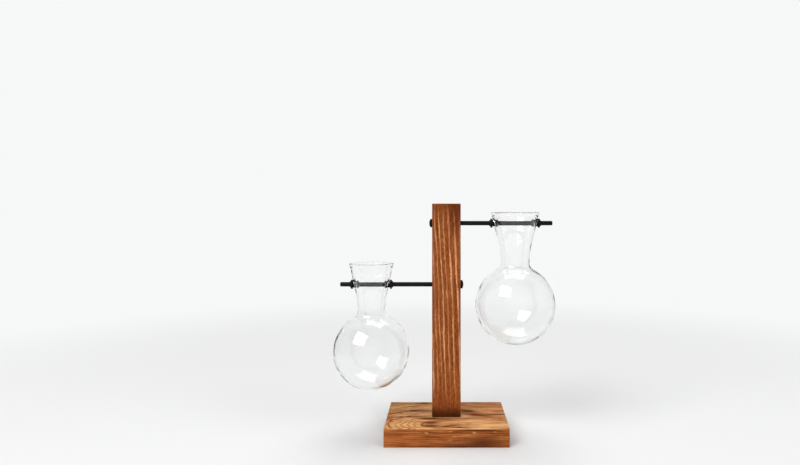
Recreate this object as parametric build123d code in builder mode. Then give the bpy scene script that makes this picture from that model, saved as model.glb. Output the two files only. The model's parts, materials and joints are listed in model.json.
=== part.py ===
from build123d import *

import os
from dataclasses import dataclass
from math import atan2, cos, degrees, radians, sin, sqrt, tan

# Propagation vase: two blown glass flasks hang from steel rods, one on each side of a wooden post
# that is screwed to a wooden base. Each flask turns on two rubber grommets set in the wall of its
# neck. The grommets slide along the rod, so a flask can be moved along it or pulled off to wash.
# Sizes are in millimetres. +X is to the right seen from the front, +Y to the back, +Z up.
# The origin is the middle of the base's underside.

# Wooden base and post
BASE_WIDTH = 125.0
BASE_DEPTH = 84.0
BASE_HEIGHT = 19.0
POST_WIDTH = 30.0
POST_DEPTH = 18.0
POST_ABOVE_ROD = 20.5  # from the upper rod to the top of the post
EDGE_ROUND = 0.8  # sanded edges

# Screws that hold the post on the base, driven from below
SCREW_DIAMETER = 3.5
SCREW_HEAD_OVERHANG = 1.75  # head past the shank's side
SCREW_HEAD_ANGLE = 90.0
SCREW_RECESS = 0.6  # depth of the head above the base's underside
SCREW_BITE = 26.0  # length of screw in the post
SCREW_POINT = 5.0  # length of the tapered point
SCREW_SPACING = 13.0
SCREW_CLEARANCE = 0.2  # round the shank in the base
THREAD_CLEARANCE = 0.03  # round the thread in the post, and under the head

# Steel rods with a low domed head, pushed through the post from its far side
ROD_DIAMETER = 4.8
ROD_SPACING = 65.0  # height of the upper rod over the lower one
ROD_CHAMFER = 0.5
ROD_FIT = 0.03  # round the rod in the post
HEAD_OVERHANG = 2.1  # head past the rod's side
HEAD_LAND = 1.9  # straight rim under the dome
HEAD_DOME = 1.3
HEAD_ROUND = 0.4  # between the rim and the dome

# Cross recess in the screws and the rods' heads
RECESS_LENGTH = 3.2
RECESS_WIDTH = 0.8
RECESS_DEPTH = 1.2

# Rubber grommets
GROMMET_WALL = 1.0  # rubber between the rod and the glass
GROMMET_SLIP = 0.05  # round the rod
GLASS_SLIP = 0.08  # between the grommet and the hole in the glass
SEAT_SLIP = 0.25  # between the flanges and the glass
FLANGE_OVERHANG = 1.4  # outer flange past the grommet's body
FLANGE_THICKNESS = 1.8
FLANGE_ROUND = 0.5
COLLAR_LENGTH = 1.4  # tapered collar outside the flange
COLLAR_TAPER = 0.45
LIP_OVERHANG = 0.9  # tapered lip inside the neck
LIP_LENGTH = 1.6

# Glass of both flasks
GLASS_WALL = 2.0
RIM_SWELL = 0.5  # fire-polished bead round the mouth, past each face of the wall
SHOULDER_RADIUS = 8.0  # hollow curve from the bulb to the neck
FLARE_RADIUS = 85.0  # curve from the waist of the neck into its straight flare

# Lower flask, on the left
LOWER_BULB_DIAMETER = 80.4
LOWER_WAIST_DIAMETER = 29.0
LOWER_FLARE_ANGLE = 12.0
LOWER_NECK_LENGTH = 53.2  # from the top of the bulb to the rim
LOWER_HOLE_DROP = 22.6  # from the rim to the rod
LOWER_BULB_GAP = 24.3  # from the post's side to the bulb
LOWER_BULB_LIFT = 27.3  # from the top of the base to the bulb
LOWER_ROD_TIP = 10.0  # rod past the outer grommet

# Upper flask, on the right
UPPER_BULB_DIAMETER = 84.2
UPPER_WAIST_DIAMETER = 30.4
UPPER_FLARE_ANGLE = 13.5
UPPER_NECK_LENGTH = 55.8
UPPER_HOLE_DROP = 11.4
UPPER_BULB_GAP = 15.9
UPPER_ROD_TIP = 12.0

# Sizes that follow from the ones above
ROD_RADIUS = ROD_DIAMETER / 2
GROMMET_RADIUS = ROD_RADIUS + GROMMET_SLIP + GROMMET_WALL
FLANGE_RADIUS = GROMMET_RADIUS + FLANGE_OVERHANG
LIP_RADIUS = GROMMET_RADIUS + LIP_OVERHANG
GLASS_HOLE_RADIUS = GROMMET_RADIUS + GLASS_SLIP
RIM_BEAD_RADIUS = GLASS_WALL / 2 + RIM_SWELL
LOWER_ROD_HEIGHT = BASE_HEIGHT + LOWER_BULB_LIFT + LOWER_BULB_DIAMETER + LOWER_NECK_LENGTH - LOWER_HOLE_DROP
UPPER_ROD_HEIGHT = LOWER_ROD_HEIGHT + ROD_SPACING
POST_HEIGHT = UPPER_ROD_HEIGHT + POST_ABOVE_ROD - BASE_HEIGHT
SCREW_PLACES = [(-SCREW_SPACING / 2, 0), (SCREW_SPACING / 2, 0)]


@dataclass
class Flask:
    """One flask and its place. Heights inside it are measured from the middle of its bulb."""

    side: int  # -1 to the left of the post, 1 to the right
    bulb_radius: float
    waist_radius: float
    flare_angle: float  # degrees from the neck's axis
    neck_length: float
    hole_drop: float
    bulb_gap: float
    rod_tip: float
    rod_height: float

    @property
    def axis_x(self):
        return self.side * (POST_WIDTH / 2 + self.bulb_gap + self.bulb_radius)

    @property
    def rim_height(self):
        return self.bulb_radius + self.neck_length

    @property
    def hole_height(self):
        return self.rim_height - self.hole_drop

    @property
    def bulb_height(self):
        """Height of the bulb's middle over the table."""
        return self.rod_height - self.hole_height

    @property
    def waist_height(self):
        """Height where the hollow curve of the shoulder, touching bulb and neck, becomes the neck."""
        return sqrt((self.bulb_radius + SHOULDER_RADIUS) ** 2 - (self.waist_radius + SHOULDER_RADIUS) ** 2)

    @property
    def flare_height(self):
        """Height where the curve of the neck becomes its straight flare."""
        return self.waist_height + FLARE_RADIUS * sin(radians(self.flare_angle))

    def neck_radius(self, height, depth=0.0):
        """Radius of the neck at a height: of its outside, or of a skin at a depth in its wall."""
        slope = radians(self.flare_angle)
        if height < self.flare_height:
            rise = height - self.waist_height
            return self.waist_radius + FLARE_RADIUS - sqrt((FLARE_RADIUS + depth) ** 2 - rise**2)
        start = self.waist_radius + FLARE_RADIUS * (1 - cos(slope))
        return start + (height - self.flare_height) * tan(slope) - depth / cos(slope)

    @property
    def outer_seat(self):
        """Distance from the neck's axis to the outer flange, clear of the sloping glass."""
        return self.neck_radius(self.hole_height + FLANGE_RADIUS) + SEAT_SLIP

    @property
    def inner_seat(self):
        """Distance from the neck's axis to the inner lip, clear of the sloping, curved glass."""
        sloping = self.neck_radius(self.hole_height - LIP_RADIUS, GLASS_WALL)
        curved = sqrt(self.neck_radius(self.hole_height, GLASS_WALL) ** 2 - LIP_RADIUS**2)
        return min(sloping, curved) - SEAT_SLIP

    @property
    def grommet_end(self):
        return self.outer_seat + FLANGE_THICKNESS + COLLAR_LENGTH

    @property
    def rod_length(self):
        """Length of the rod under its head, from the far side of the post to its tip."""
        return abs(self.axis_x) + self.grommet_end + self.rod_tip + POST_WIDTH / 2


lower = Flask(
    side=-1,
    bulb_radius=LOWER_BULB_DIAMETER / 2,
    waist_radius=LOWER_WAIST_DIAMETER / 2,
    flare_angle=LOWER_FLARE_ANGLE,
    neck_length=LOWER_NECK_LENGTH,
    hole_drop=LOWER_HOLE_DROP,
    bulb_gap=LOWER_BULB_GAP,
    rod_tip=LOWER_ROD_TIP,
    rod_height=LOWER_ROD_HEIGHT,
)
upper = Flask(
    side=1,
    bulb_radius=UPPER_BULB_DIAMETER / 2,
    waist_radius=UPPER_WAIST_DIAMETER / 2,
    flare_angle=UPPER_FLARE_ANGLE,
    neck_length=UPPER_NECK_LENGTH,
    hole_drop=UPPER_HOLE_DROP,
    bulb_gap=UPPER_BULB_GAP,
    rod_tip=UPPER_ROD_TIP,
    rod_height=UPPER_ROD_HEIGHT,
)
os.makedirs("parts", exist_ok=True)


def save(part, name):
    """Names a finished piece and writes it as its own file."""
    part.label = name
    export_step(part, f"parts/{name}.step")


# Base: a block of softwood, rounded all over, with two countersunk screw holes in its underside
screw_radius = SCREW_DIAMETER / 2
head_radius = screw_radius + SCREW_HEAD_OVERHANG
head_slope = tan(radians(SCREW_HEAD_ANGLE / 2))
with BuildPart() as base_block:
    with BuildSketch() as base_outline:
        Rectangle(BASE_WIDTH, BASE_DEPTH)
    extrude(amount=BASE_HEIGHT)
    fillet(base_block.edges(), EDGE_ROUND)
    with Locations([Location((x, y, 0), (180, 0, 0)) for x, y in SCREW_PLACES]):
        CounterSinkHole(
            radius=screw_radius + SCREW_CLEARANCE,
            counter_sink_radius=head_radius + SCREW_RECESS * head_slope,
            counter_sink_angle=SCREW_HEAD_ANGLE,
        )
save(base_block.part, "base_block")

# Post: a square-ended bar, cross-drilled for the two rods, with pilot holes in its foot
with BuildPart() as post:
    with BuildSketch(Plane.XY.offset(BASE_HEIGHT)) as post_outline:
        Rectangle(POST_WIDTH, POST_DEPTH)
    extrude(amount=POST_HEIGHT)
    fillet(post.edges().filter_by(Axis.Z) + post.faces().sort_by(Axis.Z)[-1].edges(), EDGE_ROUND)
    with BuildSketch(Plane.YZ) as rod_holes:
        with Locations((0, LOWER_ROD_HEIGHT), (0, UPPER_ROD_HEIGHT)):
            Circle(ROD_RADIUS + ROD_FIT)
    extrude(amount=POST_WIDTH / 2, both=True, mode=Mode.SUBTRACT)
    with BuildSketch(Plane.XY.offset(BASE_HEIGHT)) as pilot_holes:
        with Locations(*SCREW_PLACES):
            Circle(screw_radius + THREAD_CLEARANCE)
    extrude(amount=SCREW_BITE + THREAD_CLEARANCE, mode=Mode.SUBTRACT)
save(post.part, "post")

# Screws: countersunk wood screws with a tapered point, one turned solid each
screw_head_foot = SCREW_RECESS + SCREW_HEAD_OVERHANG / head_slope - THREAD_CLEARANCE
screw_tip = BASE_HEIGHT + SCREW_BITE
with BuildPart() as base_screws:
    for place_x, place_y in SCREW_PLACES:
        with BuildSketch(Plane.XZ.offset(-place_y)) as screw_profile:
            with BuildLine() as screw_outline:
                Polyline(
                    (place_x, SCREW_RECESS),
                    (place_x + head_radius - THREAD_CLEARANCE * head_slope, SCREW_RECESS),
                    (place_x + screw_radius, screw_head_foot),
                    (place_x + screw_radius, screw_tip - SCREW_POINT),
                    (place_x, screw_tip),
                    close=True,
                )
            make_face()
        revolve(axis=Axis((place_x, place_y, 0), (0, 0, 1)))
    with BuildSketch(Plane.XY.offset(SCREW_RECESS)) as screw_recess:
        with Locations(*SCREW_PLACES):
            Rectangle(RECESS_LENGTH, RECESS_WIDTH)
            Rectangle(RECESS_WIDTH, RECESS_LENGTH)
    extrude(amount=RECESS_DEPTH, mode=Mode.SUBTRACT)
save(base_screws.part, "base_screws")


def make_rod(flask):
    """A round rod with a chamfered tip and a domed, cross-recessed head against the post's far side."""
    head_seat = Vector(-flask.side * POST_WIDTH / 2, 0, flask.rod_height)
    head_side = Plane(head_seat, x_dir=(0, 1, 0), z_dir=(flask.side, 0, 0))
    head_edge = ROD_RADIUS + HEAD_OVERHANG
    head_round = min(HEAD_ROUND, 0.4 * HEAD_LAND)
    dome_radius = (head_edge**2 + HEAD_DOME**2) / (2 * HEAD_DOME)
    with BuildPart() as rod:
        with BuildSketch(head_side) as rod_section:
            Circle(ROD_RADIUS)
        extrude(amount=flask.rod_length)
        tip_edge = rod.edges().filter_by(GeomType.CIRCLE).sort_by(Axis.X)[-1 if flask.side > 0 else 0]
        chamfer(tip_edge, ROD_CHAMFER)
        with BuildSketch(Plane(head_seat, x_dir=(0, 0, 1), z_dir=(0, flask.side, 0))) as head_profile:
            with BuildLine() as head_outline:
                land = Polyline((0, 0), (head_edge, 0), (head_edge, -HEAD_LAND))
                dome = RadiusArc(land @ 1, (0, -HEAD_LAND - HEAD_DOME), dome_radius)
                Line(dome @ 1, land @ 0)
            make_face()
            fillet(head_profile.vertices().group_by(Axis.X)[-1].sort_by(Axis.Y)[0], head_round)
        revolve(axis=Axis(head_seat, head_side.z_dir))
        with BuildSketch(head_side.offset(-HEAD_LAND - HEAD_DOME)) as head_recess:
            Rectangle(RECESS_LENGTH, RECESS_WIDTH)
            Rectangle(RECESS_WIDTH, RECESS_LENGTH)
        extrude(amount=RECESS_DEPTH, mode=Mode.SUBTRACT)
    return rod.part


def make_flask(flask):
    """A blown bulb with a flaring neck: one wall of even thickness turned about the neck's axis,
    a bead round the mouth, and a hole through each side of the neck for the grommets."""
    section = Plane((flask.axis_x, 0, flask.bulb_height), x_dir=(1, 0, 0), z_dir=(0, -1, 0))
    across = Plane((flask.axis_x, 0, flask.rod_height), x_dir=(0, 1, 0), z_dir=(1, 0, 0))
    shoulder = (flask.waist_radius + SHOULDER_RADIUS, flask.waist_height)
    shoulder_turn = degrees(atan2(shoulder[1], shoulder[0]))
    flare = (flask.waist_radius + FLARE_RADIUS, flask.waist_height)
    bead_height = flask.rim_height - RIM_BEAD_RADIUS
    bead_x = flask.neck_radius(bead_height, GLASS_WALL / 2)
    slope = radians(flask.flare_angle)
    wall_end = Vector(bead_x, bead_height)
    half_wall = Vector(cos(slope), -sin(slope)) * (GLASS_WALL / 2)
    with BuildPart() as vase:
        with BuildSketch(section) as wall_section:
            with BuildLine() as wall_outline:
                CenterArc((0, 0), flask.bulb_radius, -90, 90 + shoulder_turn)
                CenterArc(shoulder, SHOULDER_RADIUS, 180 + shoulder_turn, -shoulder_turn)
                outside = CenterArc(flare, FLARE_RADIUS, 180, -flask.flare_angle)
                inside = CenterArc(flare, FLARE_RADIUS + GLASS_WALL, 180, -flask.flare_angle)
                Polyline(outside @ 1, wall_end + half_wall, wall_end - half_wall, inside @ 1)
                CenterArc(shoulder, SHOULDER_RADIUS + GLASS_WALL, 180 + shoulder_turn, -shoulder_turn)
                CenterArc((0, 0), flask.bulb_radius - GLASS_WALL, -90, 90 + shoulder_turn)
                Line((0, GLASS_WALL - flask.bulb_radius), (0, -flask.bulb_radius))
            make_face()
            with Locations((bead_x, bead_height)):
                Circle(RIM_BEAD_RADIUS)
        revolve(axis=Axis(section.origin, (0, 0, 1)))
        with BuildSketch(across) as hole_section:
            Circle(GLASS_HOLE_RADIUS)
        extrude(amount=flask.outer_seat, both=True, mode=Mode.SUBTRACT)
    return vase.part


def make_grommet(flask, way):
    """A rubber grommet turned about the rod: lip inside the neck, body in the hole, flange and tapered
    collar outside. Way is the direction along X from the neck's axis to the grommet."""
    section = Plane((flask.axis_x, 0, flask.rod_height), x_dir=(way, 0, 0), z_dir=(0, -way, 0))
    bore = ROD_RADIUS + GROMMET_SLIP
    flange_end = flask.outer_seat + FLANGE_THICKNESS
    flange_round = min(FLANGE_ROUND, 0.4 * FLANGE_THICKNESS)
    with BuildPart() as grommet:
        with BuildSketch(section) as grommet_section:
            with BuildLine() as grommet_outline:
                Polyline(
                    (flask.inner_seat - LIP_LENGTH, bore),
                    (flask.inner_seat - LIP_LENGTH, GROMMET_RADIUS),
                    (flask.inner_seat, LIP_RADIUS),
                    (flask.inner_seat, GROMMET_RADIUS),
                    (flask.outer_seat, GROMMET_RADIUS),
                    (flask.outer_seat, FLANGE_RADIUS),
                    (flange_end, FLANGE_RADIUS),
                    (flange_end, GROMMET_RADIUS),
                    (flask.grommet_end, GROMMET_RADIUS - COLLAR_TAPER),
                    (flask.grommet_end, bore),
                    close=True,
                )
            make_face()
            fillet(grommet_section.vertices().group_by(Axis.Y)[-1], flange_round)
        revolve(axis=Axis(section.origin, section.x_dir))
    return grommet.part


# Rods, flasks and grommets, for the lower flask and then the upper one
for place, flask in (("lower", lower), ("upper", upper)):
    save(make_rod(flask), f"{place}_rod")
    save(make_flask(flask), f"{place}_vase")
    save(make_grommet(flask, -flask.side), f"{place}_inner_grommet")
    save(make_grommet(flask, flask.side), f"{place}_outer_grommet")
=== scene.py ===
import json

import bmesh
import bpy
import numpy as np
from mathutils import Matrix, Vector
from numpy.lib.mixins import NDArrayOperatorsMixin


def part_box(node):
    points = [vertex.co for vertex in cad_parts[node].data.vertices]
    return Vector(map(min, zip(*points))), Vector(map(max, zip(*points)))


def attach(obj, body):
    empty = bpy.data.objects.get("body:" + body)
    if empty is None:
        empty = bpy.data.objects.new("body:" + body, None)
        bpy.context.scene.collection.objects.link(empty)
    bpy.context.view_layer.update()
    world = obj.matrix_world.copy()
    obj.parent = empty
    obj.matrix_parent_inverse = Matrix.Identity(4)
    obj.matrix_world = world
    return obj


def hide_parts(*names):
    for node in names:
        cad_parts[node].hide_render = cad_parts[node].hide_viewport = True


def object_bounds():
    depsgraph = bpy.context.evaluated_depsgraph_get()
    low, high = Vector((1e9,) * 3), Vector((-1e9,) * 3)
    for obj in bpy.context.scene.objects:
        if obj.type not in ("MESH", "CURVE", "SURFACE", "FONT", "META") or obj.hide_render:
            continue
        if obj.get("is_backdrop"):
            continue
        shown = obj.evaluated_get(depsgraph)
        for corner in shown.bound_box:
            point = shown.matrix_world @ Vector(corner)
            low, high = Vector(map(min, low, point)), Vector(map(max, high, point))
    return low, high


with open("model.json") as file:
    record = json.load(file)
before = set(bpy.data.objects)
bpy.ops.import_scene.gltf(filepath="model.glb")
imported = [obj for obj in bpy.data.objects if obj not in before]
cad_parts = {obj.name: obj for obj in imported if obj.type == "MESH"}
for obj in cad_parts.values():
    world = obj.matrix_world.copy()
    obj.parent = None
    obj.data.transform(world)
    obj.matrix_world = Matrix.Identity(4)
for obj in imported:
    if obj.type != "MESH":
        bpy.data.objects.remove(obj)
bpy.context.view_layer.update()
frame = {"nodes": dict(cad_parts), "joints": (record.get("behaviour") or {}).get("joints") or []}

# Base: a block of softwood, scorched with a flame, wire-brushed along the grain and oiled.
# It is sawn flat, so its top shows flame figure. Its edges are sanded by hand, and two screws
# pass through it from below into the post.
MM = 0.001
SEAM = 1e-6
BASE_EDGE = 0.8
BASE_BRUSHING = 0.22
EDGE_BEND = np.radians([15.0, 30.0, 45.0])
CREASE = 30.0
SCREW_SPACING = 13.0
SCREW_SHANK_RADIUS = 1.95
SCREW_SINK_RADIUS = 4.1
SCREW_HOLE_ROOF = 1.85
HOLE_CUT = 4
HOLE_REACH = 9
HOLE_CELL = 0.7
KNOT_X, KNOT_Y = -16.0, -29.0
BASE_RING = 2.6
SIDE_RING = 2.1
END_RING = 2.5
END_HEART_Y, END_HEART_Z = -7.0, -52.0

# Marks on the base: the two places of each, its two half lengths, and how far it climbs to the right.
# Flecks are on the front, blotches on the front and back, and the others on the top.
CRIMP = (-42.0, -24.0, 18.0, 14.0, 0.0)
BURNS_AND_POST_SHADOW = (
    (-16.0, -24.5, 7.5, 3.2, 0.0),
    (-16.0, -34.0, 8.0, 3.4, 0.0),
    # Partly scorch and partly painted shadow of the post, just in front of its foot.
    (-17.0, -12.5, 14.0, 3.2, 0.0),
    (-42.0, -7.0, 20.0, 1.6, 0.09),
    (-31.0, 11.8, 18.0, 2.2, 0.06),
    (22.0, 11.5, 10.0, 4.0, -0.2),
    (34.0, -1.5, 14.0, 4.5, -0.25),
    (54.0, 0.0, 13.0, 1.8, 0.0),
    (3.0, -34.0, 10.0, 1.7, 0.35),
    (12.0, -38.0, 12.0, 1.6, 0.0),
    # Partly scorch and partly painted shadow of the post, just in front of its foot.
    (16.0, -11.0, 15.0, 1.1, -0.05),
    (-24.0, 37.0, 9.0, 2.5, 0.0),
)
SCRAPES = (
    (40.0, -35.0, 24.0, 5.5, 0.05),
    (16.0, -3.0, 3.0, 5.0, 0.0),
    (14.0, -22.0, 14.0, 3.0, 0.1),
    (-46.0, -31.0, 17.0, 8.0, 0.0),
    (-42.0, 25.0, 24.0, 12.0, 0.0),
)
WORN = (-31.0, 3.5, 13.0, 4.5, 0.0)
FLECKS = (
    (-20.0, 14.6, 1.6, 0.6, -0.1),
    (27.5, 14.8, 1.7, 0.7, -0.2),
    (4.0, 16.0, 1.8, 0.35, 0.1),
    (8.0, 11.0, 2.0, 0.3, 0.15),
    (20.0, 12.4, 5.0, 0.3, 0.05),
    (3.5, 7.5, 2.2, 0.3, 0.1),
    (48.0, 15.6, 1.6, 0.3, 0.0),
)
BLOTCHES = (
    (38.0, 4.0, 18.0, 6.0, 0.0),
    (10.0, 0.0, 20.0, 3.5, 0.0),
)


def surface(name, sheets, crease):
    """Joins grids of points, in millimetres, into one mesh. Each sheet is its points and the cells that
    it keeps. Crossings in one place become one vertex, which closes seams and poles. Edges that turn
    by more than the crease, in degrees, stay sharp."""
    points = np.concatenate([sheet.reshape(-1, 3) for sheet, kept in sheets])
    starts = np.cumsum([0] + [sheet[..., 0].size for sheet, kept in sheets])
    cells = []
    for (sheet, kept), start in zip(sheets, starts):
        number = start + np.arange(sheet[..., 0].size).reshape(sheet.shape[:2])
        corners = (number[:-1, :-1], number[1:, :-1], number[1:, 1:], number[:-1, 1:])
        cells.append(np.stack(corners, axis=-1)[kept])
    used, faces = np.unique(np.concatenate(cells), return_inverse=True)
    mesh = bpy.data.meshes.new(name)
    mesh.from_pydata(points[used] * MM, [], faces.reshape(-1, 4))
    shell = bmesh.new()
    shell.from_mesh(mesh)
    bmesh.ops.remove_doubles(shell, verts=shell.verts, dist=SEAM)
    bmesh.ops.recalc_face_normals(shell, faces=shell.faces)
    shell.to_mesh(mesh)
    shell.free()
    mesh.shade_smooth()
    mesh.set_sharp_from_angle(angle=np.radians(crease))
    piece = bpy.data.objects.new(name, mesh)
    bpy.context.scene.collection.objects.link(piece)
    return piece


def whole(sheet):
    """A sheet that keeps all its cells."""
    return sheet, np.ones((sheet.shape[0] - 1, sheet.shape[1] - 1), bool)


def draw_hole(first, second, row, column, radius):
    """Draws a grid into rings round one of its crossings. The square of lines HOLE_CUT steps out becomes a
    circle, the one HOLE_REACH steps out stays, and those between run evenly from circle to square.
    Returns both coordinates, the cells outside the circle, and the circle's crossings in order."""
    down = np.arange(first.shape[0])[:, None] - row
    over = np.arange(first.shape[1])[None, :] - column
    ring = np.maximum(abs(down), abs(over))
    stretch = HOLE_REACH / np.maximum(ring, 1)
    edge_first = down * stretch * (first[row + 1, column] - first[row, column])
    edge_second = over * stretch * (second[row, column + 1] - second[row, column])
    turn = np.arctan2(edge_second, edge_first)
    share = np.clip((ring - HOLE_CUT) / (HOLE_REACH - HOLE_CUT), 0, 1)
    redrawn = (ring > 0) & (ring <= HOLE_REACH)
    drawn_first = first[row, column] + radius * np.cos(turn) * (1 - share) + edge_first * share
    drawn_second = second[row, column] + radius * np.sin(turn) * (1 - share) + edge_second * share
    widest = np.maximum.reduce([ring[:-1, :-1], ring[1:, :-1], ring[1:, 1:], ring[:-1, 1:]])
    rim_rows, rim_columns = np.nonzero(ring == HOLE_CUT)
    order = np.argsort(turn[rim_rows, rim_columns])
    order = np.append(order, order[0])
    rim = (rim_rows[order], rim_columns[order])
    first = np.where(redrawn, drawn_first, first)
    second = np.where(redrawn, drawn_second, second)
    return first, second, widest > HOLE_CUT, rim


def stations(*stretches):
    """Places of grid lines along an edge, from stretches of (start, end, cells), each evenly divided."""
    runs = [np.linspace(start, end, cells + 1) for start, end, cells in stretches]
    return np.concatenate([runs[0]] + [run[1:] for run in runs[1:]])


def bend_lines(places, edge):
    """Adds the lines on which a rounded edge bends, before the first place and after the last."""
    bend = edge * np.tan(EDGE_BEND)
    return np.concatenate([places[0] - bend[::-1], places, places[-1] + bend])


def block_sheet(lines, axis, end, edge, holes=()):
    """One side of a block with rounded edges, as a grid. A crossing on the sharp block is brought to the
    smaller block that lies an edge's radius inside, and pushed back out by that radius. Axis is the
    one that the side faces along, end is 0 for its low side and -1 for its high side, and a hole is
    its two places on the side and its radius. Returns the points, the kept cells and where in the grid
    the holes' rims are."""
    low, high = np.array([[run[0], run[-1]] for run in lines]).T
    rows, columns = (axis + 1) % 3, (axis + 2) % 3
    first, second = np.meshgrid(lines[rows], lines[columns], indexing="ij")
    kept = np.ones((first.shape[0] - 1, first.shape[1] - 1), bool)
    rims = []
    for place_first, place_second, radius in holes:
        row = np.argmin(abs(lines[rows] - place_first))
        column = np.argmin(abs(lines[columns] - place_second))
        first, second, outside, rim = draw_hole(first, second, row, column, radius)
        kept &= outside
        rims.append(rim)
    sharp = np.empty(first.shape + (3,))
    sharp[..., axis] = lines[axis][end]
    sharp[..., rows] = first
    sharp[..., columns] = second
    inner = np.clip(sharp, low + edge, high - edge)
    out = sharp - inner
    points = inner + edge * out / np.linalg.norm(out, axis=-1, keepdims=True)
    return points, kept, rims


def ease(value, start, end):
    """Goes smoothly from 0 at start to 1 at end: a cubic in the share of the way."""
    share = np.minimum(np.maximum((value - start) / (end - start), 0.0), 1.0)
    return share * share * (3 - 2 * share)


def square(value):
    """A value times itself."""
    return value * value


def near(x, y, spot):
    """1 at a spot on a side of the base, falling away round it as a bell: the exponential of minus the
    squares of the distances from it, over its half lengths."""
    place_x, place_y, half_x, half_y, climb = spot
    return np.exp(-square((x - place_x) / half_x) - square((y - place_y - climb * (x - place_x)) / half_y))


def base_rings(x, y, z):
    """Growth rings counted up through the base. They lie almost flat in it and sink away from one knot near
    its front, quickly to the left and slowly to the right, so that the top cuts them into loops round
    the knot and arches behind it, and the sides show them as level lines. Waves bend them, and short
    ones crimp them to the left of the knot."""
    left = np.minimum(x - KNOT_X, 0.0) / 1.5
    right = np.maximum(x - KNOT_X, 0.0) / 9
    knot = np.sqrt(square(left) + square(right) + square(y - KNOT_Y) + 3)
    bend = 1.7 * np.sin(x / 17 - 1.28) + 0.55 * np.sin(x / 8.5 + y / 14 + 0.6)
    ripple = 0.3 * np.sin(x / 4.6 - y / 9 + z / 7 + 2) + 0.12 * np.sin(x / 2.3 + y / 5 + z / 3)
    crimp = (0.4 * np.sin(y / 2.1 + x / 7 + 1) + 0.12 * np.sin(y / 0.9 - x / 5)) * near(x, y, CRIMP)
    count = (z + 0.55 * knot + bend + ripple + crimp) / BASE_RING
    return count + 0.2 * np.sin(1.7 * count)


def level_rings(x, y, z):
    """Growth rings counted up the sides of the base: height over the width of a ring, so that they show as
    almost level lines, which waves bend."""
    waves = (
        0.5 * np.sin(x / 31 + y / 23 + 0.7)
        + 0.22 * np.sin(x / 11 - y / 9 + z / 5 + 2)
        + 0.1 * np.sin(x / 4.1 + y / 3.7)
    )
    return (z + waves) / SIDE_RING


def end_rings(x, y, z):
    """Growth rings on the sawn ends of the base: distance from a heart line below it, over the width of a
    ring, so that they show as low arches."""
    distance = np.sqrt(square(y - END_HEART_Y) + square(z - END_HEART_Z)) + 0.3 * np.sin(y / 5 + z / 4)
    return distance / END_RING + 0.2 * np.sin(distance / 4.1)


def late_wood(rings, rise=(0.35, 0.85), fall=(0.9, 1.0), strength=(0.7, 2.4, 1.0)):
    """How far a point lies into the hard end of its ring: a rise and a fall between shares of the ring. Some
    rings are stronger than others, by a sine with a middle, a step from ring to ring and a start."""
    whole_rings = np.floor(rings)
    share = rings - whole_rings
    middle, step, start = strength
    weight = middle + (1 - middle) * np.sin(step * whole_rings + start)
    return weight * ease(share, *rise) * (1 - ease(share, *fall))


def brush(sheet, axis, end, lines, wear):
    """Wears a side of a block inwards between its hard lines, by a depth given at each point, fading out
    towards the block's edges."""
    fade = 1.0
    for other in ((axis + 1) % 3, (axis + 2) % 3):
        inset = np.minimum(sheet[..., other] - lines[other][0], lines[other][-1] - sheet[..., other])
        fade = fade * ease(inset, 0.5, 2.5)
    sheet[..., axis] += (1 if end == 0 else -1) * wear * fade


base_low, base_high = (np.array(corner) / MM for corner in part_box("base_block"))
inner_low, inner_high = base_low + BASE_EDGE, base_high - BASE_EDGE
hole_patch = HOLE_REACH * HOLE_CELL
hole_far = SCREW_SPACING / 2 + hole_patch
hole_near = SCREW_SPACING / 2 - hole_patch
base_lines = [
    stations(
        (inner_low[0], -hole_far, 62),
        (-hole_far, -hole_near, 2 * HOLE_REACH),
        (-hole_near, hole_near, 2),
        (hole_near, hole_far, 2 * HOLE_REACH),
        (hole_far, inner_high[0], 62),
    ),
    stations(
        (inner_low[1], -hole_patch, 52),
        (-hole_patch, hole_patch, 2 * HOLE_REACH),
        (hole_patch, inner_high[1], 52),
    ),
    stations((inner_low[2], inner_high[2], 30)),
]
base_lines = [bend_lines(places, BASE_EDGE) for places in base_lines]
base_sheets = []
for axis in range(3):
    for end in (0, -1):
        below = axis == 2 and end == 0
        holes = [(side * SCREW_SPACING / 2, 0.0, SCREW_SINK_RADIUS) for side in (-1, 1)] if below else ()
        sheet, kept, rims = block_sheet(base_lines, axis, end, BASE_EDGE, holes)
        if not below:
            rings = (end_rings, level_rings, base_rings)[axis]
            soft = 1 - late_wood(rings(*np.moveaxis(sheet, -1, 0)))
            brush(sheet, axis, end, base_lines, BASE_BRUSHING * soft)
        base_sheets.append((sheet, kept))
        for (hole_x, hole_y, hole_radius), rim in zip(holes, rims):
            mouth = sheet[rim]
            middle = np.array([hole_x, hole_y, base_low[2]])
            sink = middle + (mouth - middle) * SCREW_SHANK_RADIUS / hole_radius
            sink[:, 2] += hole_radius - SCREW_SHANK_RADIUS
            deep = sink.copy()
            deep[:, 2] = base_high[2] - SCREW_HOLE_ROOF
            close = np.broadcast_to(deep[:-1].mean(axis=0), deep.shape)
            base_sheets.append(whole(np.stack([mouth, sink, deep, close])))
base_piece = surface("base", base_sheets, CREASE)


class Value(NDArrayOperatorsMixin):
    """A number or colour that varies over a surface: the output of a shader node. Sums and numpy functions
    of it add Math nodes, so that one formula can wear a mesh and colour it."""

    MATHS = {
        np.add: "ADD", np.subtract: "SUBTRACT", np.multiply: "MULTIPLY", np.true_divide: "DIVIDE",
        np.sin: "SINE", np.sqrt: "SQRT", np.exp: "EXPONENT", np.floor: "FLOOR", np.absolute: "ABSOLUTE",
        np.minimum: "MINIMUM", np.maximum: "MAXIMUM", np.negative: "MULTIPLY",
    }

    def __init__(self, finish, socket):
        self.finish = finish
        self.socket = socket

    def __array_ufunc__(self, function, method, *terms, **options):
        if function is np.negative:
            terms = (*terms, -1.0)
        return self.finish.node("ShaderNodeMath", {"operation": self.MATHS[function]}, dict(enumerate(terms)))


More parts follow.
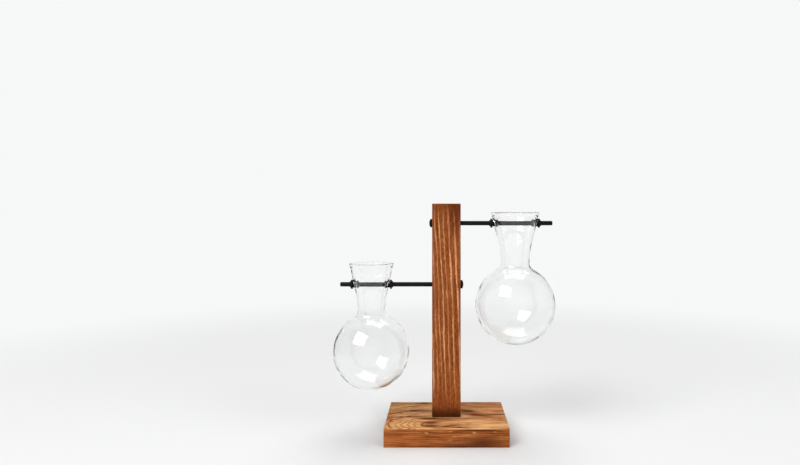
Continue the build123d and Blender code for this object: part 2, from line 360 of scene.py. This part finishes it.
class Finish:
    """A material, or the world, being made. Node adds any node and returns one of its outputs as a Value."""

    def __init__(self, owner, shader):
        owner.use_nodes = True
        self.owner = owner
        self.tree = owner.node_tree
        self.shader = self.tree.nodes[shader]

    def node(self, kind, settings, sockets, output=0):
        """Adds a node of that kind, makes its settings, and then sets or links its sockets."""
        made = self.tree.nodes.new(kind)
        for name, setting in settings.items():
            setattr(made, name, setting)
        for name, term in sockets.items():
            self.feed(made.inputs[name], term)
        return Value(self, made.outputs[output])

    def feed(self, socket, term):
        """Links a Value to a socket, or sets the socket to a plain number or colour."""
        if isinstance(term, Value):
            self.tree.links.new(term.socket, socket)
        else:
            socket.default_value = term

    def place(self):
        """The three coordinates of a point on the piece, in millimetres."""
        here = self.node("ShaderNodeTexCoord", {}, {}, 3)
        return [self.node("ShaderNodeSeparateXYZ", {}, {0: here}, axis) / MM for axis in range(3)]

    def noise(self, x, y, z, detail=2.0, roughness=0.5):
        """Smooth noise from 0 to 1, about one bump to each unit of the three coordinates."""
        here = self.node("ShaderNodeCombineXYZ", {}, {0: x, 1: y, 2: z})
        sockets = {"Vector": here, "Scale": 1.0, "Detail": detail, "Roughness": roughness}
        return self.node("ShaderNodeTexNoise", {}, sockets)

    def mix(self, share, first, second):
        """Goes from the first colour to the second as the share goes from 0 to 1."""
        return self.node("ShaderNodeMix", {"data_type": "RGBA"}, {0: share, 6: first, 7: second}, 2)

    def bump(self, height, depth):
        """Shading of a relief that is 0 to 1 high, times its depth in millimetres."""
        sockets = {"Strength": 1.0, "Distance": depth * MM, "Height": height}
        self.feed(self.shader.inputs["Normal"], self.node("ShaderNodeBump", {}, sockets))

    def coat(self, **terms):
        """Sets or links the shader's own sockets, named with underscores for spaces."""
        for name, term in terms.items():
            self.feed(self.shader.inputs[name.replace("_", " ")], term)


def srgb(red, green, blue):
    """A colour as it looks on a screen, 0 to 255, as the linear colour that a shader takes."""
    shown = np.array((red, green, blue)) / 255
    linear = np.where(shown <= 0.04045, shown / 12.92, ((shown + 0.055) / 1.055) ** 2.4)
    return (*linear.tolist(), 1.0)


def finish_of(name):
    """A new finish for a piece."""
    return Finish(bpy.data.materials.new(name), "Principled BSDF")


def dress(piece, finish):
    """Gives a piece, or a node of the stand, that finish alone."""
    piece.data.materials.clear()
    piece.data.materials.append(finish.owner)


def fibres(wood, along, across, through):
    """Three scales of fibre, as noise drawn out along the grain, each from 0 to 1: fine hairs, pores and soft
    streaks."""
    hairs = wood.noise(along * 0.1, across * 2.4, through * 2.4, 3.0, 0.65)
    pores = ease(wood.noise(along * 0.22 + 9, across * 1.1, through * 1.1, 3.0, 0.6), 0.52, 0.68)
    streaks = ease(wood.noise(along * 0.03 + 7, across * 0.45, through * 0.45, 3.0, 0.6), 0.3, 0.7)
    return hairs, pores, streaks


# The top's colours are the wood's own brushed tone, partly lightened by painted sheen of the overhead light.
TANNED, HONEY = srgb(168, 97, 52), srgb(250, 192, 128)
SHADED = srgb(150, 80, 42)
SCRAPED_PINE = srgb(248, 190, 124)
WORN_PINE = srgb(206, 160, 132)
RING_BROWN = srgb(118, 54, 20)
# Scorch colour, which also paints the shadow of the post in front of its foot.
SCORCH_AND_SHADOW = srgb(96, 40, 12)
OILED_DARK, OILED_LIGHT = srgb(114, 53, 18), srgb(206, 124, 66)
OILED_RING = srgb(96, 46, 20)
CHAR = srgb(64, 32, 17)
NICK = srgb(222, 164, 112)
SAWN_DARK, SAWN_LIGHT = srgb(122, 60, 24), srgb(186, 112, 58)
SAWN_RING = srgb(78, 34, 12)
FIBRE = srgb(84, 42, 20)
WOOD_GLOSS = 0.06
WOOD_RELIEF = 0.25

base_wood = finish_of("base_wood")
x, y, z = base_wood.place()
hairs, pores, streaks = fibres(base_wood, x, y, z)
warp = base_wood.noise(x * 0.034 + 2, y * 0.06, z * 0.06, 1.0)
patch = base_wood.noise(x * 0.045 + 2, y * 0.09, z * 0.09, 3.0, 0.6)
flame = ease(base_wood.noise(x * 0.04 + 5, y * 0.17, z * 0.3, 3.0, 0.6), 0.36, 0.64)
stray = (warp - 0.5) * 0.9 + (streaks - 0.5) * 0.2
figured = late_wood(base_rings(x, y, z) + stray) * (0.45 + 1.1 * ease(patch, 0.35, 0.6))
figured = figured * (1 - 0.8 * ease(x, -30, -12)) * (1 - 0.5 * near(x, y, CRIMP))
level = late_wood(level_rings(x, y, z) + stray)
# Scorch marks on the top, two of them partly painted shadow of the post in front of its foot.
burnt_and_post_shadow = sum(near(x, y, spot) for spot in BURNS_AND_POST_SHADOW) * (0.85 + 0.6 * flame)
scraped = sum(near(x, y, spot) for spot in SCRAPES) * (0.5 + 0.7 * patch)
top = ease(z, base_high[2] - 1.2, base_high[2] - 0.3)
arches = late_wood(end_rings(x, y, z) + stray * 0.5)
sawn_end = ease(np.absolute(x), base_high[0] - 0.6, base_high[0] - 0.1)
late = level + (figured - level) * top
late = late + (arches - late) * sawn_end
# Colour of the top: its own tone and scorch marks, lighter and paler than the sides partly as painted sheen
# of the overhead light.
top_tone_and_sheen = base_wood.mix(flame * 0.55 + streaks * 0.4 + scraped * 0.4, TANNED, HONEY)
top_tone_and_sheen = base_wood.mix(ease(y, -10, 16) * (0.3 + 0.12 * ease(x, -12, 12)), top_tone_and_sheen, SHADED)
top_tone_and_sheen = base_wood.mix(np.minimum(scraped * 0.55, 0.75), top_tone_and_sheen, SCRAPED_PINE)
top_tone_and_sheen = base_wood.mix(near(x, y, WORN) * 0.75, top_tone_and_sheen, WORN_PINE)
top_tone_and_sheen = base_wood.mix(figured * 0.85, top_tone_and_sheen, RING_BROWN)
top_tone_and_sheen = base_wood.mix(np.minimum(burnt_and_post_shadow, 0.96), top_tone_and_sheen, SCORCH_AND_SHADOW)
pale_end = ease(-x, 44, 60)
oiled = base_wood.mix(streaks * 0.7 + patch * 0.3 + 0.25 * pale_end, OILED_DARK, OILED_LIGHT)
oiled = base_wood.mix(level * 0.4, oiled, OILED_RING)
blotch = sum(near(x, z, spot) for spot in BLOTCHES) * (0.4 + 0.6 * streaks)
edge_burn = ease(z, base_high[2] - 6, base_high[2] - 0.8) * ease(x, -10, 25)
edge_burn = edge_burn * (1 - 0.8 * ease(x, 44, 56))
oiled = base_wood.mix(np.minimum(blotch * 1.1 + edge_burn * 0.7, 0.9), oiled, CHAR)
front = 1 - ease(y, base_low[1] + 1, base_low[1] + 3)
fleck = sum(near(x, z, spot) for spot in FLECKS) * front
fleck = fleck + ease(base_wood.noise(x * 0.16 + 3, y * 0.7, z * 0.9, 2.0), 0.68, 0.78) * 0.6 * (1 - front)
oiled = base_wood.mix(np.minimum(fleck, 0.8), oiled, NICK)
sawn = base_wood.mix(streaks * 0.4 + patch * 0.4, SAWN_DARK, SAWN_LIGHT)
sawn = base_wood.mix(arches * 0.75 + pores * 0.2, sawn, SAWN_RING)
# The top takes its lighter colours, which carry painted sheen, over those of the sides and sawn ends.
colour = base_wood.mix(top, base_wood.mix(sawn_end, oiled, sawn), top_tone_and_sheen)
colour = base_wood.mix(ease(hairs, 0.5, 0.72) * 0.35 + pores * 0.2, colour, FIBRE)
base_wood.coat(Base_Color=colour, Roughness=0.6 + 0.2 * hairs - 0.08 * late, Specular_IOR_Level=WOOD_GLOSS)
base_wood.bump(hairs * 0.5 + late * 0.5, WOOD_RELIEF)
dress(base_piece, base_wood)
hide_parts("base_block")
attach(base_piece, "stand")

# Post: a bar of the same softwood with straight grain, scorched and brushed so that the hard lines of its
# rings stand up pale from the darker wood between them. It stands on the base, is screwed to it
# from below, and is drilled across for the two rods.
POST_EDGE = 0.8
POST_BRUSHING = 0.2
POST_RING = 4.2
POST_HEART_X, POST_HEART_Y = -150.0, 70.0
HARD_LINE = {"rise": (0.57, 0.78), "fall": (0.86, 0.98), "strength": (0.75, 2.1, 2.0)}
ROD_RADIUS = 2.4
ROD_FIT = 0.03
ROD_PATCH = 4.5


def post_rings(x, y, z):
    """Growth rings across the post: distance from a heart line far to its left and behind it, over the width
    of a ring. The grain leans a little to the right on its way down, and strays."""
    stray = (
        0.4 * np.sin(z / 37 + 0.8)
        + 0.22 * np.sin(z / 16 + x / 6 + 1.9)
        + 0.12 * np.sin(z / 7.5 - x / 4 + y / 5 + 3)
    )
    lean = 0.042 * (z - 130)
    distance = np.sqrt(square(x + lean + stray - POST_HEART_X) + square(y - POST_HEART_Y))
    return distance / POST_RING + 0.25 * np.sin(distance / 5.3 + 1)


swing = {joint["name"]: np.array(joint["pos_m"]) / MM for joint in frame["joints"] if "pos_m" in joint}
rod_heights = sorted((swing["lower_swing"][2], swing["upper_swing"][2]))
post_low, post_high = (np.array(corner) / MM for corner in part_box("post"))
inner_low, inner_high = post_low + POST_EDGE, post_high - POST_EDGE
post_lines = [
    stations((inner_low[0], inner_high[0], 64)),
    stations(
        (inner_low[1], -ROD_PATCH, 8),
        (-ROD_PATCH, ROD_PATCH, 2 * HOLE_REACH),
        (ROD_PATCH, inner_high[1], 8),
    ),
    stations(
        (inner_low[2], rod_heights[0] - ROD_PATCH, 110),
        (rod_heights[0] - ROD_PATCH, rod_heights[0] + ROD_PATCH, 2 * HOLE_REACH),
        (rod_heights[0] + ROD_PATCH, rod_heights[1] - ROD_PATCH, 46),
        (rod_heights[1] - ROD_PATCH, rod_heights[1] + ROD_PATCH, 2 * HOLE_REACH),
        (rod_heights[1] + ROD_PATCH, inner_high[2], 14),
    ),
]
post_lines = [bend_lines(places, POST_EDGE) for places in post_lines]
post_sheets = []
post_rims = []
for axis in range(3):
    for end in (0, -1):
        holes = [(0.0, height, ROD_RADIUS + ROD_FIT) for height in rod_heights] if axis == 0 else ()
        sheet, kept, rims = block_sheet(post_lines, axis, end, POST_EDGE, holes)
        if axis != 2:
            soft = 1 - late_wood(post_rings(*np.moveaxis(sheet, -1, 0)), **HARD_LINE)
            brush(sheet, axis, end, post_lines, POST_BRUSHING * soft)
        post_sheets.append((sheet, kept))
        if rims:
            post_rims.append([sheet[rim] for rim in rims])
for low_rim, high_rim in zip(*post_rims):
    post_sheets.append(whole(np.linspace(low_rim, high_rim, 5)))
post_piece = surface("post_bar", post_sheets, CREASE)

GROUND_DARK, GROUND_LIGHT = srgb(108, 46, 14), srgb(178, 102, 50)
PORE = srgb(80, 34, 12)
BRUSHED_LINE = srgb(229, 160, 108)
CROWN_SCORCH = srgb(92, 34, 10)
# Dark colour at the post's foot: partly scorch and partly painted shade where the post meets the base.
FOOT_SCORCH_AND_SHADE = srgb(54, 25, 11)
POST_END_DARK, POST_END_LIGHT = srgb(122, 60, 24), srgb(168, 98, 50)
POST_END_RING = srgb(74, 32, 12)

post_wood = finish_of("post_wood")
x, y, z = post_wood.place()
hairs, pores, streaks = fibres(post_wood, z, x, y)
speckle = ease(post_wood.noise(z * 0.28 + 3, x * 0.85, y * 0.85, 3.0, 0.6), 0.42, 0.66)
rings = post_rings(x, y, z) + (streaks - 0.5) * 0.2 + (speckle - 0.5) * 0.08
line = late_wood(rings, **HARD_LINE)
strength = ease(post_wood.noise(x * 0.15, y * 0.15, z * 0.025 + 1, 3.0), 0.3, 0.65)
cloud = post_wood.noise(x * 0.06, y * 0.06, z * 0.02 + 5)
# The foot darkens towards the base: partly scorch and partly painted contact shade.
foot = 1 - ease(z, post_low[2] + 1, post_low[2] + 12 + 6 * streaks)
clear = ease(z, post_low[2] + 14, post_low[2] + 46) * (1 - ease(z, post_high[2] - 16, post_high[2] - 2))
ground = post_wood.mix(streaks * 0.45 + cloud * 0.25 + speckle * 0.4, GROUND_DARK, GROUND_LIGHT)
ground = post_wood.mix(pores * 0.5 + ease(hairs, 0.5, 0.72) * 0.35, ground, PORE)
bright = line * clear * (0.5 + 0.75 * strength) * (0.8 + 0.35 * speckle)
colour = post_wood.mix(bright, ground, BRUSHED_LINE)
crown = ease(z, post_high[2] - 46, post_high[2] - 10) * (0.2 + 0.8 * ease(x, -4, 8))
colour = post_wood.mix(crown * 0.75, colour, CROWN_SCORCH)
colour = post_wood.mix(foot * 0.85, colour, FOOT_SCORCH_AND_SHADE)
sawn = post_wood.mix(streaks * 0.5 + speckle * 0.3, POST_END_DARK, POST_END_LIGHT)
sawn = post_wood.mix(line * 0.85 + pores * 0.25, sawn, POST_END_RING)
colour = post_wood.mix(ease(z, post_high[2] - 0.6, post_high[2] - 0.1), colour, sawn)
post_wood.coat(Base_Color=colour, Roughness=0.6 + 0.2 * hairs - 0.08 * line, Specular_IOR_Level=WOOD_GLOSS)
post_wood.bump(hairs * 0.5 + line * 0.5, WOOD_RELIEF)
dress(post_piece, post_wood)
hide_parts("post")
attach(post_piece, "stand")

# Screws: two countersunk wood screws of plated steel, driven through the base into the foot of the post.
# Their heads lie just inside the underside.
ZINC_YELLOW, ZINC_PALE = srgb(196, 176, 118), srgb(214, 206, 182)

screw_zinc = finish_of("screw_zinc")
x, y, z = screw_zinc.place()
cloud = screw_zinc.noise(x * 0.9, y * 0.9, z * 0.9, 3.0)
plating = screw_zinc.mix(cloud, ZINC_YELLOW, ZINC_PALE)
screw_zinc.coat(Base_Color=plating, Metallic=1.0, Roughness=0.26 + 0.16 * cloud)
screw_zinc.bump(cloud, 0.02)
dress(frame["nodes"]["base_screws"], screw_zinc)

# Rods: steel bar with a low domed head, painted satin black. Each is pushed through the post until its head
# meets the far side, and carries a flask on its free end.
PAINT_BLACK, PAINT_RUBBED = srgb(9, 8, 7), srgb(34, 29, 26)

rod_black = finish_of("rod_black")
x, y, z = rod_black.place()
speck = rod_black.noise(x * 2.2, y * 2.2, z * 2.2, 3.0)
rub = ease(rod_black.noise(x * 0.12, y * 1.4, z * 1.4, 2.0), 0.58, 0.75)
paint = rod_black.mix(rub * 0.5, PAINT_BLACK, PAINT_RUBBED)
rod_black.coat(Base_Color=paint, Roughness=0.34 + 0.14 * speck + 0.1 * rub, Specular_IOR_Level=0.15)
rod_black.bump(speck, 0.03)
for rod in ("lower_rod", "upper_rod"):
    dress(frame["nodes"][rod], rod_black)

# Flasks: blown clear glass, a round bulb with a waisted neck that flares to a fire-polished lip. A hole is
# ground through each side of the neck, where the grommets sit.
GLASS_WALL = 2.0
LIP_RADIUS = 1.5
LIP_SWELL = 3.5
SHOULDER_RADIUS = 8.0
FLARE_RADIUS = 85.0
GLASS_HOLE_RADIUS = 3.6
GLASS_TURNS = 180
GLASS_PATCH = 5.6
GLASS_CREASE = 40.0
GLASS_TINT = (0.985, 0.995, 0.99, 1.0)
BULB_CELLS = 76
SHOULDER_CELLS = 14
FLARE_CELLS = 16
LIP_CELLS = 16
NECK_CELLS = 8

# Radius of each waist, and the angle of its flare in degrees
NECKS = {"lower": (14.5, 12.0), "upper": (15.2, 13.5)}


def arc(centre, radius, start, end, cells):
    """Points on a circle in the plane of radius and height, between two angles in degrees."""
    turn = np.radians(np.linspace(start, end, cells + 1))
    return centre + radius * np.stack([np.cos(turn), np.sin(turn)], axis=-1)


def turned(radius, height, turn):
    """Carries a profile round an upright axis: radius and height at each angle."""
    return np.stack(np.broadcast_arrays(radius * np.cos(turn), radius * np.sin(turn), height), axis=-1)


def flask_sheets(bulb, waist, flare, rim, hole):
    """The glass of a flask about its upright axis, with heights from the middle of its bulb. Each face of the
    wall is a profile carried round: an arc for the bulb, a hollow arc for the shoulder, a long arc into
    the flare, and a straight flare that swells towards the lip, which is half a circle. Each face has
    two holes, drawn into its grid, and a tube joins the two rims of each hole."""
    turn = np.radians(np.linspace(-90, 270, GLASS_TURNS + 1))
    shoulder = np.array([waist + SHOULDER_RADIUS, 0.0])
    shoulder[1] = np.sqrt((bulb + SHOULDER_RADIUS) ** 2 - shoulder[0] ** 2)
    rise = np.degrees(np.arctan2(shoulder[1], shoulder[0]))
    bend = np.array([waist + FLARE_RADIUS, shoulder[1]])
    slope = np.radians(flare)
    lean = np.array([np.sin(slope), np.cos(slope)])
    out = np.array([np.cos(slope), -np.sin(slope)])
    start = bend - (FLARE_RADIUS + GLASS_WALL / 2) * out
    length = (rim - LIP_RADIUS - start[1]) / lean[1]
    lip = arc(start + length * lean, LIP_RADIUS, -flare, 180 - flare, LIP_CELLS)
    sheets = [whole(turned(lip[:, :1], lip[:, 1:], turn))]
    rims = []
    for side in (1, -1):
        depth = (1 - side) * GLASS_WALL / 2
        middle = (hole - start[1] + side * GLASS_WALL / 2 * np.sin(slope)) / lean[1]
        way = stations(
            (0.0, middle - GLASS_PATCH, NECK_CELLS),
            (middle - GLASS_PATCH, middle + GLASS_PATCH, 2 * HOLE_REACH),
            (middle + GLASS_PATCH, length - LIP_SWELL, NECK_CELLS),
            (length - LIP_SWELL, length, NECK_CELLS),
        )
        swell = GLASS_WALL / 2 + (LIP_RADIUS - GLASS_WALL / 2) * ease(way, length - LIP_SWELL, length)
        straight = start + way[:, None] * lean + side * swell[:, None] * out
        profile = np.concatenate([
            arc((0.0, 0.0), bulb - depth, -90.0, rise, BULB_CELLS)[:-1],
            arc(shoulder, SHOULDER_RADIUS + depth, 180 + rise, 180.0, SHOULDER_CELLS)[:-1],
            arc(bend, FLARE_RADIUS + depth, 180.0, 180 - flare, FLARE_CELLS)[:-1],
            straight,
        ])
        row = len(profile) - len(straight) + NECK_CELLS + HOLE_REACH
        girth = profile[row, 0]
        height, along = np.meshgrid(profile[:, 1], girth * turn, indexing="ij")
        radius = np.repeat(profile[:, :1], len(turn), axis=1)
        kept = True
        for column in (GLASS_TURNS // 4, 3 * GLASS_TURNS // 4):
            height, along, outside, rim_places = draw_hole(height, along, row, column, GLASS_HOLE_RADIUS)
            kept = kept & outside
            rims.append(rim_places)
        patch = slice(row - HOLE_REACH, row + HOLE_REACH + 1)
        radius[patch] = np.interp(height[patch], straight[:, 1], straight[:, 0])
        face = turned(radius, height, along / girth)
        sheets.append((face, kept))
    for hole_number in range(2):
        outer, inner = (sheets[1 + face][0][rims[hole_number + 2 * face]] for face in range(2))
        sheets.append(whole(np.linspace(outer, inner, 4)))
    return sheets


clear_glass = finish_of("clear_glass")
x, y, z = clear_glass.place()
ripple = clear_glass.noise(x * 0.05, y * 0.05, z * 0.09, 1.0)
haze = clear_glass.noise(x * 0.3, y * 0.3, z * 0.3, 3.0)
clear_glass.coat(Base_Color=GLASS_TINT, Transmission_Weight=1.0, IOR=1.47)
clear_glass.coat(Roughness=0.03 * ease(haze, 0.55, 0.8))
clear_glass.bump(ripple, 0.5)
for place, (waist, flare) in NECKS.items():
    low, high = (np.array(corner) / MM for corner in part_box(f"{place}_vase"))
    bulb = (high[1] - low[1]) / 2
    middle = np.array([swing[f"{place}_swing"][0], 0.0, low[2] + bulb])
    rod_height = swing[f"{place}_swing"][2]
    sheets = flask_sheets(bulb, waist, flare, high[2] - middle[2], rod_height - middle[2])
    flask = surface(f"{place}_glass", [(sheet + middle, kept) for sheet, kept in sheets], GLASS_CREASE)
    dress(flask, clear_glass)
    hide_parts(f"{place}_vase")
    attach(flask, f"{place}_flask")

# Grommets: moulded black rubber, two in each neck. A lip holds each one inside the glass, a flange lies
# against the outside, and a short collar closes on the rod.
GROMMET_BORE = 2.45
GROMMET_RADIUS = 3.45
FLANGE_RADIUS = 4.85
FLANGE_THICKNESS = 1.8
COLLAR_LENGTH = 1.4
COLLAR_RADIUS = 3.0
GROMMET_LIP_RADIUS = 4.35
GROMMET_LIP_LENGTH = 1.6
GROMMET_TURNS = 72
MOULD_EDGE = 0.24
RUBBER_BLACK, RUBBER_DUSTY = srgb(9, 8, 8), srgb(36, 33, 31)

black_rubber = finish_of("black_rubber")
x, y, z = black_rubber.place()
grain = black_rubber.noise(x * 3, y * 3, z * 3, 3.0)
dust = ease(black_rubber.noise(x * 0.5, y * 0.5, z * 0.5 + 4, 2.0), 0.45, 0.75)
rubber = black_rubber.mix(dust * 0.5, RUBBER_BLACK, RUBBER_DUSTY)
black_rubber.coat(Base_Color=rubber, Roughness=0.42 + 0.16 * grain + 0.1 * dust, Specular_IOR_Level=0.16)
black_rubber.bump(grain, 0.05)
for place in NECKS:
    neck_x, neck_y, rod_height = swing[f"{place}_swing"]
    for spot in ("inner", "outer"):
        node = f"{place}_{spot}_grommet"
        low, high = (np.array(corner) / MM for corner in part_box(node))
        ends = sorted((low[0] - neck_x, high[0] - neck_x), key=abs)
        way = np.sign(ends[1])
        lip_end, collar_end = abs(ends[0]), abs(ends[1])
        flange_end = collar_end - COLLAR_LENGTH
        seat = flange_end - FLANGE_THICKNESS
        neck_face = lip_end + GROMMET_LIP_LENGTH
        profile = np.array([
            (lip_end, GROMMET_BORE), (lip_end, GROMMET_RADIUS), (neck_face, GROMMET_LIP_RADIUS),
            (neck_face, GROMMET_RADIUS), (seat, GROMMET_RADIUS), (seat, FLANGE_RADIUS),
            (flange_end, FLANGE_RADIUS), (flange_end, GROMMET_RADIUS), (collar_end, COLLAR_RADIUS),
            (collar_end, GROMMET_BORE), (lip_end, GROMMET_BORE),
        ])
        turn = np.linspace(0, 2 * np.pi, GROMMET_TURNS + 1)
        ring = turned(profile[:, 1:], profile[:, :1], turn)
        ring = np.stack([neck_x + way * ring[..., 2], ring[..., 0], rod_height + ring[..., 1]], axis=-1)
        grommet = surface(f"{place}_{spot}_rubber", [whole(ring)], CREASE)
        bevel = grommet.modifiers.new("moulded_edges", "BEVEL")
        bevel.width = MOULD_EDGE * MM
        bevel.segments = 3
        bevel.limit_method = "ANGLE"
        dress(grommet, black_rubber)
        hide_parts(node)
        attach(grommet, f"{place}_grommets")

# Studio: a pale floor that fades into a pale surround, three large soft lamps, grey cards that only show in
# reflections, and the camera, level with the upper rod.
PALE = (0.93, 0.935, 0.94, 1.0)
DARK = (0.0, 0.0, 0.0, 1.0)
FLOOR_GREY = (0.84, 0.84, 0.84, 1.0)
FLOOR_RADIUS = 4000.0
FLOOR_RINGS = (0.0, 0.1, 0.25, 0.5, 1.0)
FLOOR_TURNS = 96
FLOOR_FADE = (350.0, 1100.0)
LEFT_CARD, LEFT_CARD_REACH = 0.8, (0.3, 0.7)
RIGHT_CARD, RIGHT_CARD_REACH = 0.6, (0.3, 0.55)
DIM_OVERHEAD, OVERHEAD_REACH = 0.65, (0.3, 0.75)
WORLD_LIGHT = 0.4
FOCAL_PIXELS = 573.0
PICTURE_WIDTH = 800.0
SENSOR_WIDTH = 36.0
CAMERA_SHIFT = (-42.0, -10.5)
CAMERA_PLACE = (-0.0046, -0.6091, 0.2235)
LAMP_AIM = Vector((0.0, 0.0, 0.12))
LAMPS = {
    "key": {"place": (-1.0, -1.1, 1.5), "size": 1.2, "power": 23.0, "mirrored": True},
    "fill": {"place": (1.3, -0.8, 0.9), "size": 1.1, "power": 8.5, "mirrored": False},
    "top": {"place": (0.15, 0.6, 1.8), "size": 1.3, "power": 12.0, "mirrored": True},
}


def seen(finish):
    """1 for what the camera sees, straight on, in a reflection or through glass, and 0 for other light."""
    kinds = [finish.node("ShaderNodeLightPath", {}, {}, output) for output in (0, 3, 6)]
    return np.minimum(kinds[0] + kinds[1] + kinds[2], 1.0)


def surround(finish, right, up):
    """How bright the surround is, by how far a look goes to the right and up. Grey cards stand far to the
    left and right, and the studio is dim overhead, but these only show in reflections, where they draw
    the edges of the glass."""
    mirrored = finish.node("ShaderNodeLightPath", {}, {}, 5)
    cards = LEFT_CARD * ease(-right, *LEFT_CARD_REACH) + RIGHT_CARD * ease(right, *RIGHT_CARD_REACH)
    overhead = DIM_OVERHEAD * ease(up, *OVERHEAD_REACH)
    return 1 - (1 - (1 - cards) * (1 - overhead)) * mirrored


turn = np.linspace(0, 2 * np.pi, FLOOR_TURNS + 1)
reach = np.array(FLOOR_RINGS)[:, None] * FLOOR_RADIUS
floor = surface("floor", [whole(turned(reach, np.array(0.0), turn))], CREASE)
floor_paint = finish_of("floor_paint")
x, y, z = floor_paint.place()
distance = np.sqrt(square(x) + square(y))
far = ease(distance, *FLOOR_FADE)
floor_paint.coat(Base_Color=FLOOR_GREY, Roughness=0.9, Specular_IOR_Level=0.1)
shown = floor_paint.mix(surround(floor_paint, x / distance, 0.0), DARK, PALE)
glow = floor_paint.node("ShaderNodeEmission", {}, {"Color": shown})
lit = Value(floor_paint, floor_paint.shader.outputs[0])
blended = floor_paint.node("ShaderNodeMixShader", {}, {0: far * seen(floor_paint), 1: lit, 2: glow})
floor_paint.feed(floor_paint.tree.nodes["Material Output"].inputs["Surface"], blended)
dress(floor, floor_paint)
floor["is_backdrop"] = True

studio = Finish(bpy.data.worlds.new("studio"), "Background")
bpy.context.scene.world = studio.owner
look = studio.node("ShaderNodeTexCoord", {}, {}, 0)
right, up = (studio.node("ShaderNodeSeparateXYZ", {}, {0: look}, axis) for axis in (0, 2))
strength = WORLD_LIGHT + seen(studio) * (surround(studio, right, up) - WORLD_LIGHT)
studio.coat(Color=PALE, Strength=strength)

for name, lamp in LAMPS.items():
    light = bpy.data.lights.new(name, "AREA")
    light.shape = "SQUARE"
    light.size = lamp["size"]
    light.energy = lamp["power"]
    holder = bpy.data.objects.new(name, light)
    bpy.context.scene.collection.objects.link(holder)
    holder.location = lamp["place"]
    holder.rotation_euler = (LAMP_AIM - holder.location).to_track_quat("-Z", "Y").to_euler()
    holder.visible_camera = False
    holder.visible_glossy = lamp["mirrored"]
    holder.visible_transmission = lamp["mirrored"]

camera_data = bpy.data.cameras.new("camera")
camera_data.sensor_width = SENSOR_WIDTH
camera_data.lens = SENSOR_WIDTH * FOCAL_PIXELS / PICTURE_WIDTH
camera_data.shift_x, camera_data.shift_y = (shift / PICTURE_WIDTH for shift in CAMERA_SHIFT)
camera = bpy.data.objects.new("camera", camera_data)
bpy.context.scene.collection.objects.link(camera)
camera.location = CAMERA_PLACE
camera.rotation_euler = (np.pi / 2, 0.0, 0.0)
bpy.context.scene.camera = camera
bpy.context.scene.view_settings.view_transform = "Standard"

low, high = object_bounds()
